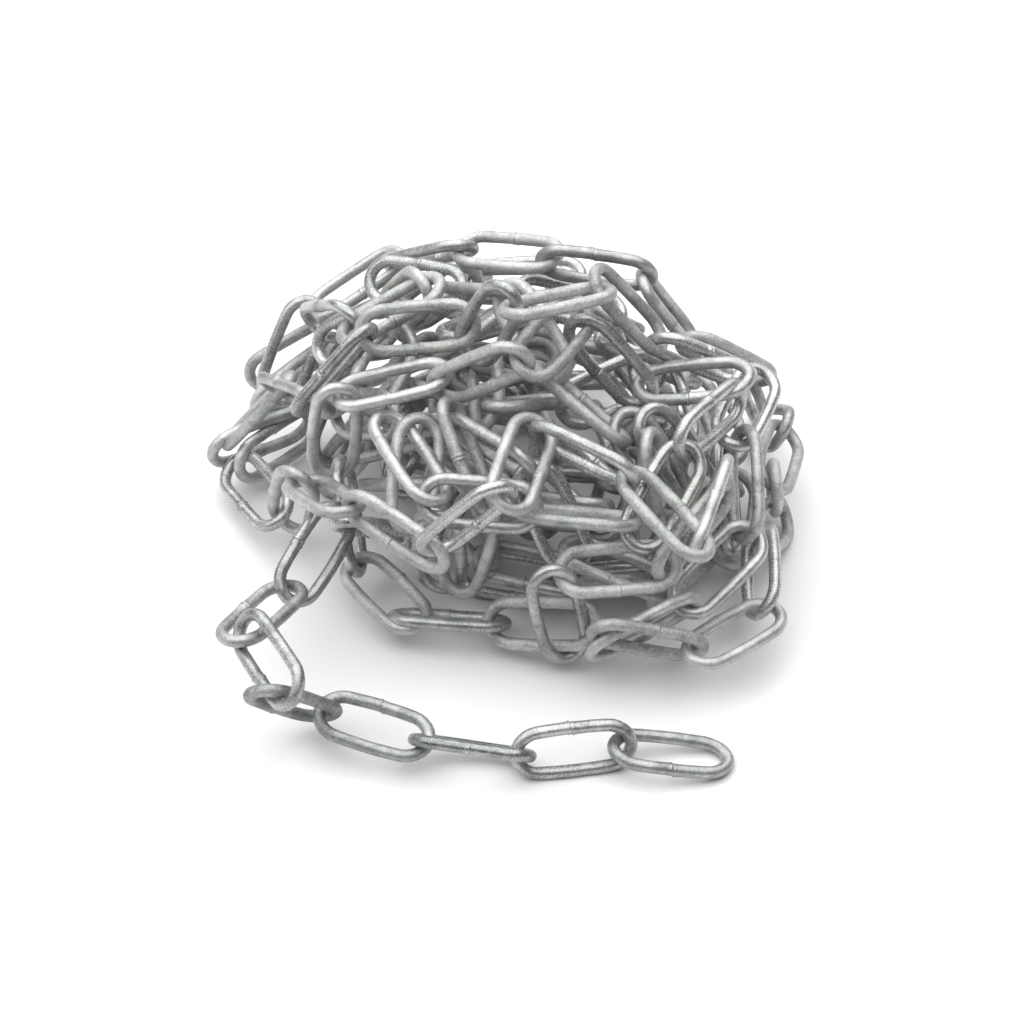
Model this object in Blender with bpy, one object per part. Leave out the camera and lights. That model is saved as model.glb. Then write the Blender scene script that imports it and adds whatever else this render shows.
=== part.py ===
"""A loose heap of galvanised long-link steel chain with one end trailing out over the floor.

The chain is laid link by link in code.  Each link is hung on the last bend of the one before it,
at the place that serves the link's aim best and keeps it clear of every link that lies there
already.  Links of one run of chain touch and make one solid, and the links of the trailing end are
solids of their own.
"""

import math

import bmesh
import bpy
import numpy as np
from mathutils import Matrix

OBJECT = "heap_of_steel_chain"
MM = 0.001

# The link: 4 mm wire, 40 x 18 mm outside.
WIRE = 4.0
INNER_LENGTH = 32.0
INNER_WIDTH = 10.0
BEND = (INNER_WIDTH + WIRE) / 2
HALF_STRAIGHT = (INNER_LENGTH + WIRE) / 2 - BEND
HALF_LENGTH = HALF_STRAIGHT + BEND
OUTER_HALF = HALF_LENGTH + WIRE / 2

# The sections: corner radius, sides, straight pieces that make up a bend, and how far the corners
# between those pieces lie outside the true bend.  The trailing end is finer than the heap.
ROUGH = (2.1, 6, 4, 0.2)
FINE = (2.0, 8, 6, 0.1)

# Distances between the middles of two wires, and from the floor to the middle of a wire.
JOINED = 3.0
CLEAR = 5.0
CLEAR_FINE = 4.5
FLOOR = ROUGH[0]
# From the middle of a fine wire to one of the flats of its section.
TO_FLAT = FINE[0] * math.cos(math.pi / FINE[1])

# How far the next link may turn on the bend that it hangs on, in degrees: place on the old bend,
# side of the old wire, place on the new bend, side of the new wire, crossing of the two wires.
TURNS = np.radians([75, 75, 75, 75, 60])
SQUARE = np.radians([0, 0, 0, 0, 90])

# The outline of the heap on the floor, as points round its middle, its height, and how full its
# flanks are.  Its near left corner is empty but for the loose bights of chain that lie there.
HEAP_MIDDLE = np.array([-2.0, 6.0])
HEAP_OUTLINE = [
    (-82, 40),
    (-80, 30),
    (-73, 16),
    (-58, 0),
    (-44, -20),
    (-34, -44),
    (-8, -64),
    (28, -76),
    (62, -80),
    (79, -58),
    (86, -22),
    (88, 5),
    (84, 34),
    (66, 58),
    (36, 72),
    (0, 78),
    (-40, 76),
    (-70, 62),
]
HEAP_HEIGHT = 81.0
FULLNESS = 2.6
# The links inside it fill the same shape on a smaller scale.
INSIDE = 0.95
FILL_LINKS = 112
FIRST_TURN = math.pi
MOST_ON_ROUTE = 60
RUN_LINKS = 4
SEED = 43

# Nothing behind this shows but what rises over the top of the heap.
BACK = 60.0

# The view of the photograph: metres are not needed, only the angle, the distance and the scale.
VIEW_DOWN = math.radians(40)
VIEW_DISTANCE = 1100.0
VIEW_SCALE = 3267.0
VIEW_MIDDLE = 512.0
RIGHTWARD = np.array([1.0, 0.0, 0.0])
FORWARD = np.array([0.0, math.cos(VIEW_DOWN), -math.sin(VIEW_DOWN)])
UPWARD = np.array([0.0, math.sin(VIEW_DOWN), math.cos(VIEW_DOWN)])


def outline_of_link(step):
    """Points round the middle line of a link, in its own plane."""
    straight = max(2, round(2 * HALF_STRAIGHT / step))
    bend = max(4, round(math.pi * BEND / step))
    along = np.linspace(-HALF_STRAIGHT, HALF_STRAIGHT, straight, endpoint=False)
    turn = np.linspace(-math.pi / 2, math.pi / 2, bend, endpoint=False)
    lower = np.column_stack([along, np.full(straight, -BEND)])
    right = np.column_stack([HALF_STRAIGHT + BEND * np.cos(turn), BEND * np.sin(turn)])
    return np.vstack([lower, right, -lower, -right])


LINE = outline_of_link(2.0)
SQUARE_SIDE = 4.0
GROUND = np.stack(
    np.meshgrid(np.arange(-140, 141, SQUARE_SIDE), np.arange(-180, 141, SQUARE_SIDE), indexing="ij"),
    axis=-1,
)


def lines_of(middles, alongs, faces):
    """The middle lines of several links as points in space."""
    acrosses = np.cross(faces, alongs)
    return (
        middles[..., None, :]
        + LINE[:, :1] * alongs[..., None, :]
        + LINE[:, 1:] * acrosses[..., None, :]
    )


def seen_from(points, middles, alongs, faces):
    """Points given in the directions of each link: along it, across it and out of its plane."""
    acrosses = np.cross(faces, alongs)
    dx = points[..., 0:1] - middles[:, 0]
    dy = points[..., 1:2] - middles[:, 1]
    dz = points[..., 2:3] - middles[:, 2]
    return [
        dx * axis[:, 0] + dy * axis[:, 1] + dz * axis[:, 2]
        for axis in (alongs, acrosses, faces)
    ]


def wire_distance(points, middles, alongs, faces):
    """How far each point lies from the middle line of each link."""
    x, y, z = seen_from(points, middles, alongs, faces)
    ring = np.hypot(np.maximum(np.abs(x) - HALF_STRAIGHT, 0), y) - BEND
    return np.hypot(ring, z)


def threads(line, middles, alongs, faces):
    """Whether a closed line goes through the opening of each link an odd number of times."""
    x, y, z = seen_from(line, middles, alongs, faces)
    after = [np.roll(values, -1, axis=0) for values in (x, y, z)]
    crosses = (z > 0) != (after[2] > 0)
    share = np.where(crosses, z / np.where(crosses, z - after[2], 1), 0)
    x = x + share * (after[0] - x)
    y = y + share * (after[1] - y)
    inside = np.hypot(np.maximum(np.abs(x) - HALF_STRAIGHT, 0), y) < BEND
    return (crosses & inside).sum(axis=0) % 2 == 1


def hung_on(last, turns, gap):
    """The poses of links that hang on the far bend of the last one, for rows of five turns."""
    middle, along, face = last
    across = np.cross(face, along)
    on_old, old_side, on_new, new_side, crossing = (turns[:, i, None] for i in range(5))
    outward = np.cos(on_old) * along + np.sin(on_old) * across
    old_wire = np.cos(on_old) * across - np.sin(on_old) * along
    old_point = middle + HALF_STRAIGHT * along + BEND * outward
    inward = np.sin(old_side) * face - np.cos(old_side) * outward
    new_point = old_point + gap * inward
    new_wire = np.cos(crossing) * old_wire + np.sin(crossing) * np.cross(inward, old_wire)
    sideways = np.cross(new_wire, inward)
    reach = np.sin(new_side) * sideways - np.cos(new_side) * inward
    alongs = np.cos(on_new) * reach + np.sin(on_new) * new_wire
    acrosses = np.cos(on_new) * new_wire - np.sin(on_new) * reach
    middles = new_point + BEND * reach + HALF_STRAIGHT * alongs
    return middles, alongs, np.cross(alongs, acrosses)


def square_of(points):
    """The square of the ground that lies under each point."""
    squares = np.round((points[..., :2] - GROUND[0, 0]) / SQUARE_SIDE).astype(int)
    squares = np.clip(squares, 1, np.array(GROUND.shape[:2]) - 2)
    return squares[..., 0], squares[..., 1]


class Heap:
    """The links laid so far, in order."""

    def __init__(self, seed):
        self.middles = np.zeros((0, 3))
        self.alongs = np.zeros((0, 3))
        self.faces = np.zeros((0, 3))
        self.tops = [np.full(GROUND.shape[:2], FLOOR - WIRE)]
        self.chance = np.random.default_rng(seed)
        self.next_turns = self.some_turns(40)

    def __len__(self):
        return len(self.middles)

    def some_turns(self, count):
        return SQUARE + TURNS * self.chance.uniform(-1, 1, (count, 5))

    def add(self, middle, along, face):
        """Adds a link, rounded so that every computer lays the same heap."""
        along = np.round(along / np.linalg.norm(along), 9)
        face = face - (face @ along) * along
        face = np.round(face / np.linalg.norm(face), 9)
        self.middles = np.vstack([self.middles, np.round(middle, 6)])
        self.alongs = np.vstack([self.alongs, along])
        self.faces = np.vstack([self.faces, face])

    def top(self):
        """The height of the highest wire over each square of the ground."""
        while len(self.tops) <= len(self):
            heights = self.tops[-1].copy()
            line = lines_of(*self.some(len(self.tops) - 1))
            for point in line:
                column, row = square_of(point)
                patch = heights[column - 1 : column + 2, row - 1 : row + 2]
                np.maximum(patch, point[2], out=patch)
            self.tops.append(heights)
        return self.tops[-1]

    def cut_to(self, count):
        self.middles = self.middles[:count]
        self.alongs = self.alongs[:count]
        self.faces = self.faces[:count]
        self.tops = self.tops[: count + 1]

    def last(self):
        return self.middles[-1], self.alongs[-1], self.faces[-1]

    def some(self, chosen):
        return self.middles[chosen], self.alongs[chosen], self.faces[chosen]

    def near(self, point, reach):
        return np.nonzero(((self.middles - point) ** 2).sum(axis=1) < reach * reach)[0]

    def fits(self, poses, gap, floor=FLOOR):
        """Which of the poses are clear of the floor and of all links, and hang on the last one only."""
        lines = lines_of(*poses)
        fit = lines[..., 2].min(axis=1) > floor - 0.001
        newest = len(self) - 1
        fit &= wire_distance(lines, *self.some([newest]))[..., 0].min(axis=1) > gap - 0.06
        for i in np.nonzero(fit)[0]:
            around = self.near(poses[0][i], 2 * HALF_LENGTH + CLEAR)
            others = self.some(around[around != newest])
            if len(others[0]) and wire_distance(lines[i], *others).min() < CLEAR:
                fit[i] = False
                continue
            fit[i] = (threads(lines[i], *self.some(around)) == (around == newest)).all()
        return fit

    def ways_on(self, pose, gap):
        """How many of a fixed set of next links would fit after this one."""
        self.add(*pose)
        count = self.fits(hung_on(self.last(), self.next_turns, gap), gap).sum()
        self.cut_to(len(self) - 1)
        return count

    def first_that_fits(self, turns, costs, gap, wanted):
        """The cheapest row of turns that fits and leaves the wanted number of ways on."""
        best, most = None, 0
        poses = hung_on(self.last(), turns, gap)
        order = np.argsort(costs, kind="stable")
        for start in range(0, len(order), 20):
            block = order[start : start + 20]
            for row in block[self.fits([part[block] for part in poses], gap)]:
                ways = self.ways_on([part[row] for part in poses], gap)
                if ways > most:
                    best, most = row, ways
                if most >= wanted:
                    return best, most
        return best, most

    def lay(self, aim, gap, tries=200, rounds=6, wanted=5):
        """Lays the next link where the aim costs least, and tells whether it found a place."""
        turns = self.some_turns(tries)
        costs = aim(*hung_on(self.last(), turns, gap))
        row, ways = self.first_that_fits(turns, costs, gap, wanted)
        if row is None:
            return False
        chosen, cost = turns[row], costs[row]
        size = 0.25
        for _ in range(rounds):
            turns = chosen + TURNS * size * self.chance.normal(0, 1, (40, 5))
            turns = np.clip(turns, SQUARE - TURNS, SQUARE + TURNS)
            costs = aim(*hung_on(self.last(), turns, gap))
            better = np.nonzero(costs < cost)[0]
            row, found = self.first_that_fits(turns[better], costs[better], gap, min(ways, wanted))
            if row is not None and found >= min(ways, wanted):
                chosen, cost = turns[better][row], costs[better][row]
                size *= 0.8
            else:
                size *= 0.55
        pose = hung_on(self.last(), chosen[None], gap)
        self.add(*(part[0] for part in pose))
        return True


def room_cost(heap, middles, alongs):
    """What it costs to end a link where the floor or another link leaves no room for the next."""
    ahead = middles + (HALF_LENGTH + 11) * alongs
    short = np.maximum(0, 12 - ahead[:, 2])
    around = heap.near(middles.mean(axis=0), 110)
    around = around[around != len(heap) - 1]
    if len(around):
        free = wire_distance(ahead, *heap.some(around)).min(axis=1)
        short = np.maximum(short, 12 - free)
    return short


def rest_cost(heap, poses):
    """How far the two halves of a link hang above whatever lies under them."""
    lines = lines_of(*poses)
    drops = lines[..., 2] - heap.top()[square_of(lines)] - WIRE
    drops = np.maximum(drops, 0)
    near_half = LINE[:, 0] < 0
    return drops[:, near_half].min(axis=1) + drops[:, ~near_half].min(axis=1)


def reach_of_heap(angles):
    """How far the heap's outline lies from its middle in each direction."""
    corners = np.array(HEAP_OUTLINE) - HEAP_MIDDLE
    directions = np.arctan2(corners[:, 1], corners[:, 0])
    order = np.argsort(directions)
    reaches = np.hypot(*corners.T)
    return np.interp(angles, directions[order], reaches[order], period=2 * math.pi)


def outness(points):
    """How far out a point lies, as a share of the way to the edge of the heap on the floor."""
    x, y = points[..., 0] - HEAP_MIDDLE[0], points[..., 1] - HEAP_MIDDLE[1]
    return np.hypot(x, y) / reach_of_heap(np.arctan2(y, x))


def heap_top(points):
    """The height of the heap's surface over each point."""
    return HEAP_HEIGHT * (1 - np.minimum(outness(points), 1) ** FULLNESS)


def edge_at(height):
    """The share of the heap's outline that is left at a height inside it."""
    return np.clip(1 - height / (INSIDE * HEAP_HEIGHT), 0, 1) ** (1 / FULLNESS)


def fall_point(number):
    """Where link number so and so of the heap's inside falls: the hand circles as it lowers them."""
    level = 1 - (1 - number / FILL_LINKS) ** (1 / (1 + 2 / FULLNESS))
    level *= INSIDE * HEAP_HEIGHT
    turn = FIRST_TURN + 0.62 * number
    swing = 0.35 + 0.65 * abs(math.sin(0.171 * number))
    reach = swing * edge_at(level) * INSIDE * reach_of_heap(turn)
    return HEAP_MIDDLE + reach * np.array([math.cos(turn), math.sin(turn)]), level


def falling(heap, number):
    """An aim that drops a link near its fall point, as low as it can go and inside the heap."""
    point, level = fall_point(number)

    def aim(middles, alongs, faces):
        ends = middles + HALF_LENGTH * alongs
        height = (middles[:, 2] + ends[:, 2]) / 2
        away = np.hypot(*((ends[:, :2] - point).T))
        out = outness(ends) / INSIDE - edge_at(ends[:, 2])
        return (
            0.8 * height
            + 1.2 * np.maximum(0, level - height)
            + 0.45 * away
            + 0.5 * rest_cost(heap, (middles, alongs, faces))
            + room_cost(heap, middles, alongs)
            + 100 * np.maximum(0, out)
        )

    return aim


def in_view(points):
    """Points as the photograph shows them, in its pixels."""
    scale = VIEW_SCALE / (VIEW_DISTANCE + points @ FORWARD)
    return np.stack(
        [VIEW_MIDDLE + (points @ RIGHTWARD) * scale, VIEW_MIDDLE - (points @ UPWARD) * scale],
        axis=-1,
    )


def seen_at(heap, near_end, far_end, hold):
    """An aim that puts a link's two ends where the photograph shows them, and low on the floor."""

    def aim(*poses):
        middles, alongs, _ = poses
        near = in_view(middles - OUTER_HALF * alongs) - near_end
        far = in_view(middles + OUTER_HALF * alongs) - far_end
        miss = 0.25 * np.hypot(*near.T) + 0.4 * np.hypot(*far.T)
        off = np.abs(middles[:, 2] - heap_top(middles) - WIRE)
        return miss + hold * off + 0.3 * room_cost(heap, middles, alongs)

    return aim


def on_surface(seen):
    """The point of the heap's surface, or of the floor, that lies at a place in the photograph."""
    right = (seen[0] - VIEW_MIDDLE) / VIEW_SCALE
    up = (VIEW_MIDDLE - seen[1]) / VIEW_SCALE
    depth = np.arange(-140.0, 160.0, 1.0)[:, None] + VIEW_DISTANCE
    ray = depth * (FORWARD + up * UPWARD + right * RIGHTWARD) - VIEW_DISTANCE * FORWARD
    above = ray[:, 2] - heap_top(ray) - WIRE
    first = np.argmax(above <= 0)
    if ray[first, 1] > BACK:
        first = np.argmin(above + 300 * (outness(ray) > 1))
    return ray[first]


def route_through(seen_points, step=2.0):
    """Points at even steps along the way over the heap through places in the photograph."""
    corners = np.array([on_surface(seen) for seen in seen_points])
    legs = np.linalg.norm(np.diff(corners, axis=0), axis=1)
    marks = np.concatenate([[0], np.cumsum(legs)])
    steps = np.arange(0, marks[-1], step)
    return np.column_stack([np.interp(steps, marks, corners[:, i]) for i in range(3)])


def following(heap, goal, way):
    """An aim that ends a link near the goal and keeps it on the way there."""

    def aim(*poses):
        middles, alongs, _ = poses
        miss = np.linalg.norm(middles + HALF_LENGTH * alongs - goal, axis=1)
        gaps = np.linalg.norm(middles[:, None] - way, axis=2)
        return (
            miss
            + 0.6 * gaps.min(axis=1)
            + 0.5 * rest_cost(heap, poses)
            + 0.5 * room_cost(heap, middles, alongs)
        )

    return aim


def lay_along(heap, route, step=2.0):
    """Lays links along a route over the heap, each as far on as it will reach."""
    reached = 0
    stride = round(INNER_LENGTH / step)
    for _ in range(MOST_ON_ROUTE):
        way = route[reached : reached + round(1.2 * stride)]
        goal = way[min(stride, len(way) - 1)]
        if heap.lay(following(heap, goal, way), gap_for(len(heap))):
            end = heap.middles[-1] + HALF_LENGTH * heap.alongs[-1]
            reached += max(3, np.argmin(np.linalg.norm(way - end, axis=1)))
        else:
            heap.cut_to(len(heap) - 3)
        if reached > len(route) - 4:
            return


# Places that the chain passes over the heap, read by eye off the photograph, in the order in which
# the chain is laid here.
OVER_HEAP = [
    (430, 400),
    (400, 480),
    (398, 530),
    (420, 590),
    (385, 605),
    (455, 650),
    (497, 600),
    (506, 636),
    (590, 610),
    (583, 565),
    (630, 545),
    (682, 540),
    (695, 480),
    (668, 447),
    (586, 487),
    (488, 503),
    (385, 535),
    (330, 540),
    (283, 530),
    (245, 460),
    (262, 480),
    (330, 470),
    (402, 472),
    (478, 432),
    (560, 385),
    (605, 345),
    (690, 370),
    (665, 430),
    (662, 480),
    (680, 520),
    (640, 540),
    (600, 580),
    (595, 622),
    (700, 628),
    (737, 610),
    (745, 540),
    (780, 515),
    (760, 500),
    (735, 470),
    (760, 425),
    (750, 385),
    (697, 345),
    (661, 325),
    (625, 312),
    (595, 290),
    (541, 260),
    (480, 262),
    (425, 275),
    (372, 290),
    (325, 335),
    (303, 360),
    (296, 400),
    (300, 440),
    (350, 440),
]
# The two ends of each link of the trailing end, read the same way, from the free end on.
TAIL = [
    ((735, 760), (606, 762)),
    ((638, 768), (510, 745)),
    ((536, 752), (407, 738)),
    ((436, 738), (314, 708)),
    ((358, 720), (252, 690)),
    ((308, 700), (240, 618)),
    ((262, 665), (296, 583)),
    ((285, 602), (345, 505)),
]
TAIL_TILT = math.radians(10)
ON_FLOOR = 1.0
# One link lies with a flat of its section on the floor: the first that has room for it, how far its
# plane can lean over from level, and the small turns and moves that are tried.
FIRST_SET_DOWN = 1
LEANS = np.radians([22.5, 67.5])
TURNED = np.radians(np.arange(-16, 17, 2))
MOVED = np.arange(-3, 3.1, 0.3)


def on_floor(seen, height):
    """The point at this height over the floor that lies at a place in the photograph."""
    right = (seen[0] - VIEW_MIDDLE) / VIEW_SCALE
    up = (VIEW_MIDDLE - seen[1]) / VIEW_SCALE
    ray = FORWARD + up * UPWARD + right * RIGHTWARD
    start = -VIEW_DISTANCE * FORWARD
    return start + ray * (height - start[2]) / ray[2]


def set_down(heap):
    """Turns the newest link so that a flat of its lower bar lies on the floor, if there is room."""
    was = heap.last()
    middle, along, face = was
    heap.cut_to(len(heap) - 1)
    up = np.array([0.0, 0.0, 1.0])
    heading = math.atan2(along[1], along[0])
    lean = min(LEANS, key=lambda angle: abs(angle - math.acos(min(1, abs(face[2])))))
    middle = np.append(middle[:2], TO_FLAT + BEND * math.sin(lean))
    side = math.copysign(1, face[2] * (face @ np.cross(up, along)))
    ways = []
    for turn in TURNED:
        flat = np.array([math.cos(heading + turn), math.sin(heading + turn), 0.0])
        leaning = math.cos(lean) * up + side * math.sin(lean) * np.cross(up, flat)
        for right in MOVED:
            for on in MOVED:
                cost = HALF_LENGTH * abs(turn) + math.hypot(right, on)
                ways.append((cost, (middle + [right, on, 0], flat, leaning)))
    ways.sort(key=lambda way: way[0])
    poses = [np.array(part) for part in zip(*(pose for _, pose in ways))]
    fit = heap.fits(poses, CLEAR_FINE, TO_FLAT)
    first = np.argmax(fit)
    heap.add(*([part[first] for part in poses] if fit[first] else was))
    return fit[first]


def lay_tail(heap):
    """Lays the trailing end, which starts with a link whose free end lies on the floor."""
    ends = [on_floor(seen, FLOOR) for seen in TAIL[0]]
    flat = (ends[1] - ends[0]) / np.linalg.norm(ends[1] - ends[0])
    up = np.array([0.0, 0.0, 1.0])
    along = math.cos(TAIL_TILT) * flat + math.sin(TAIL_TILT) * up
    face = math.cos(TAIL_TILT) * up - math.sin(TAIL_TILT) * flat
    middle = (ends[0] + ends[1]) / 2 + up * HALF_LENGTH * math.sin(TAIL_TILT)
    heap.add(middle, along, face)
    is_down = False
    for number, (near_end, far_end) in enumerate(TAIL[1:], start=1):
        aim = seen_at(heap, near_end, far_end, ON_FLOOR)
        heap.lay(aim, CLEAR_FINE, tries=400, rounds=12)
        if number >= FIRST_SET_DOWN and not is_down:
            is_down = set_down(heap)


def gap_for(number):
    """Links of the trailing end, and runs of chain, are solids of their own."""
    in_run = (number - len(TAIL)) % RUN_LINKS
    return JOINED if number > len(TAIL) and in_run else CLEAR


def fill_heap(heap):
    """Lays the links of the heap's inside, and takes some back wherever the chain is stuck."""
    start = len(heap)
    for back in range(2, 30):
        while len(heap) < start + FILL_LINKS:
            if not heap.lay(falling(heap, len(heap) - start), gap_for(len(heap))):
                break
        if len(heap) == start + FILL_LINKS:
            return
        heap.cut_to(max(start, len(heap) - back))


def lay_heap():
    heap = Heap(SEED)
    lay_tail(heap)
    fill_heap(heap)
    lay_along(heap, route_through(OVER_HEAP))
    return heap


def steel():
    material = bpy.data.materials.new("galvanised steel")
    material.use_nodes = True
    shader = material.node_tree.nodes["Principled BSDF"]
    shader.inputs["Base Color"].default_value = (0.56, 0.57, 0.57, 1)
    shader.inputs["Metallic"].default_value = 1.0
    shader.inputs["Roughness"].default_value = 0.45
    return material


def link_mesh(section, sides, steps, swell):
    """One link at the origin, along X in the plane of X and Y, as a closed mesh."""
    turns = np.linspace(-math.pi / 2, math.pi / 2, steps + 1)
    radii = [BEND] + [BEND + swell] * (steps - 1) + [BEND]
    bend = [
        (HALF_STRAIGHT + radius * math.cos(turn), radius * math.sin(turn))
        for turn, radius in zip(turns, radii)
    ]
    points = bend + [(-x, -y) for x, y in bend]
    curve = bpy.data.curves.new("link", "CURVE")
    curve.dimensions = "3D"
    curve.twist_mode = "Z_UP"
    curve.bevel_depth = section * MM
    curve.bevel_resolution = (sides - 4) // 2
    spline = curve.splines.new("POLY")
    spline.points.add(len(points) - 1)
    for point, (x, y) in zip(spline.points, points):
        point.co = (x * MM, y * MM, 0, 1)
    spline.use_cyclic_u = True
    holder = bpy.data.objects.new("link", curve)
    mesh = bpy.data.meshes.new_from_object(holder)
    bpy.data.objects.remove(holder)
    return mesh


def placed(name, mesh, pose, shift, collection, material):
    middle, along, face = pose
    across = np.cross(face, along)
    body = bpy.data.objects.new(name, mesh.copy())
    rows = np.column_stack([along, across, face, (middle - shift) * MM])
    body.matrix_world = Matrix([list(row) for row in rows] + [[0, 0, 0, 1]])
    body.data.materials.append(material)
    collection.objects.link(body)
    return body


def islands_of(shape):
    """The vertices of a bmesh in groups that no edge joins."""
    left = set(shape.verts)
    groups = []
    while left:
        group = {left.pop()}
        edge_of_group = list(group)
        while edge_of_group:
            for edge in edge_of_group.pop().link_edges:
                for vertex in edge.verts:
                    if vertex not in group:
                        group.add(vertex)
                        edge_of_group.append(vertex)
        left -= group
        groups.append(group)
    return sorted(groups, key=len)


def fix_join(body, graph):
    """Makes the union the body's own mesh, without specks of void shut in where two wires meet."""
    mesh = bpy.data.meshes.new_from_object(body.evaluated_get(graph))
    shape = bmesh.new()
    shape.from_mesh(mesh)
    for speck in islands_of(shape)[:-1]:
        bmesh.ops.delete(shape, geom=list(speck), context="VERTS")
    shape.to_mesh(mesh)
    shape.free()
    body.modifiers.clear()
    body.data = mesh


def new_collection(name, parent):
    collection = bpy.data.collections.new(name)
    parent.children.link(collection)
    return collection


def build():
    for old in list(bpy.data.objects):
        bpy.data.objects.remove(old)
    scene = bpy.context.scene.collection
    shown = new_collection(OBJECT, scene)
    joined = new_collection("links_that_are_joined", scene)
    joined.hide_render = True
    heap = lay_heap()
    lines = lines_of(heap.middles, heap.alongs, heap.faces).reshape(-1, 3)
    low, high = lines.min(axis=0), lines.max(axis=0)
    shift = np.array([(low[0] + high[0]) / 2, (low[1] + high[1]) / 2, 0.0])
    mesh = link_mesh(*ROUGH)
    fine_mesh = link_mesh(*FINE)
    material = steel()
    tail = len(TAIL)
    for i in range(tail):
        placed(f"tail_link_{i + 1:02d}", fine_mesh, heap.some(i), shift, shown, material)
    for start in range(tail, len(heap), RUN_LINKS):
        number = (start - tail) // RUN_LINKS + 1
        body = placed(
            f"chain_run_{number:02d}", mesh, heap.some(start), shift, shown, material
        )
        more = new_collection(f"links_of_run_{number:02d}", joined)
        for i in range(start + 1, min(start + RUN_LINKS, len(heap))):
            other = placed(f"link_{i + 1:03d}", mesh, heap.some(i), shift, more, material)
            other.hide_render = True
            other.display_type = "WIRE"
        join = body.modifiers.new("links", "BOOLEAN")
        join.operation = "UNION"
        join.operand_type = "COLLECTION"
        join.solver = "EXACT"
        join.collection = more
    graph = bpy.context.evaluated_depsgraph_get()
    for body in shown.objects:
        if body.modifiers:
            fix_join(body, graph)


build()
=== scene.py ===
"""A loose heap of galvanised long-link steel chain, one end trailing out over a pale studio floor.

Every link is laid again as the model has it, and each is then made as a real one looks: round wire
bent to an oval and butt-welded in the middle of one side, dipped in zinc.
"""

import math

import bmesh
import bpy
import numpy as np
from mathutils import Matrix, Vector, noise


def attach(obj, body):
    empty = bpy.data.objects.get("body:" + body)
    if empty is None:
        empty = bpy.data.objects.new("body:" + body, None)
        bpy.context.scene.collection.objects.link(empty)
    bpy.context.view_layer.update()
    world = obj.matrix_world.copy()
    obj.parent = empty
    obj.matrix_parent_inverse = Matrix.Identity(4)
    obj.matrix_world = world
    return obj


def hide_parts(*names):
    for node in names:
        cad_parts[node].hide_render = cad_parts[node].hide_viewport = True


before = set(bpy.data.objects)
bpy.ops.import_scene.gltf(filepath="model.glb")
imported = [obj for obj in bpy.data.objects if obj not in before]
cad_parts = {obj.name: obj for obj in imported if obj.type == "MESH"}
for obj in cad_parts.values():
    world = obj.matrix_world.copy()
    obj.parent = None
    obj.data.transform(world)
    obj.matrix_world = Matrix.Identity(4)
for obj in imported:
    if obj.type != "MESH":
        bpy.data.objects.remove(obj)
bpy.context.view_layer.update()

MM = 0.001

# The link: 4 mm wire, 40 x 18 mm outside.
WIRE = 4.0
INNER_LENGTH = 32.0
INNER_WIDTH = 10.0
BEND = (INNER_WIDTH + WIRE) / 2
HALF_STRAIGHT = (INNER_LENGTH + WIRE) / 2 - BEND
HALF_LENGTH = HALF_STRAIGHT + BEND
OUTER_HALF = HALF_LENGTH + WIRE / 2

# The sections that the model has: corner radius and sides, in the heap and in the trailing end.
ROUGH = (2.1, 6)
FINE = (2.0, 8)

# Distances between the middles of two wires, and from the floor to the middle of a wire.
JOINED = 3.0
CLEAR = 5.0
CLEAR_FINE = 4.5
FLOOR = ROUGH[0]
# From the middle of a fine wire to one of the flats of its section.
TO_FLAT = FINE[0] * math.cos(math.pi / FINE[1])

# How far the next link may turn on the bend that it hangs on, in degrees: place on the old bend,
# side of the old wire, place on the new bend, side of the new wire, crossing of the two wires.
TURNS = np.radians([75, 75, 75, 75, 60])
SQUARE = np.radians([0, 0, 0, 0, 90])

# The outline of the heap on the floor, as points round its middle, its height, and how full its
# flanks are.  Its near left corner is empty but for the loose bights of chain that lie there.
HEAP_MIDDLE = np.array([-2.0, 6.0])
HEAP_OUTLINE = [
    (-82, 40),
    (-80, 30),
    (-73, 16),
    (-58, 0),
    (-44, -20),
    (-34, -44),
    (-8, -64),
    (28, -76),
    (62, -80),
    (79, -58),
    (86, -22),
    (88, 5),
    (84, 34),
    (66, 58),
    (36, 72),
    (0, 78),
    (-40, 76),
    (-70, 62),
]
HEAP_HEIGHT = 81.0
FULLNESS = 2.6
# The links inside it fill the same shape on a smaller scale.
INSIDE = 0.95
FILL_LINKS = 112
FIRST_TURN = math.pi
MOST_ON_ROUTE = 60
RUN_LINKS = 4
SEED = 43

# Nothing behind this shows but what rises over the top of the heap.
BACK = 60.0

# The view of the photograph: its angle, its distance in millimetres, and its scale and middle in
# pixels.
VIEW_DOWN = math.radians(40)
VIEW_DISTANCE = 1100.0
VIEW_SCALE = 3267.0
VIEW_MIDDLE = 512.0
RIGHTWARD = np.array([1.0, 0.0, 0.0])
FORWARD = np.array([0.0, math.cos(VIEW_DOWN), -math.sin(VIEW_DOWN)])
UPWARD = np.array([0.0, math.sin(VIEW_DOWN), math.cos(VIEW_DOWN)])
# The depths at which a line of sight is tried, and what a try beyond the edge of the heap costs.
DEPTHS = np.arange(-140.0, 160.0, 1.0)[:, None] + VIEW_DISTANCE
PAST_EDGE = 300

# The search for a place for the next link: links that are tried after it, poses that are tested
# together, turns that are tried round the best one, how widely they spread at first, and what is left
# of that spread after a gain and after a miss.
WAYS_COUNTED = 40
AT_ONCE = 20
TRIES_AROUND = 40
FIRST_SPREAD = 0.25
AFTER_GAIN = 0.8
AFTER_MISS = 0.55
# Decimals kept of directions and of places, and the slack that a floor and a gap are tested with.
DIRECTION_DECIMALS = 9
PLACE_DECIMALS = 6
FLOOR_SLACK = 0.001
GAP_SLACK = 0.06
# The room that the next link wants: how far ahead it is looked for, how much it is, and how far off
# links can take it away.
ROOM_AHEAD = 11
ROOM_WANTED = 12
ROOM_LOOKED_AT = 110
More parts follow.
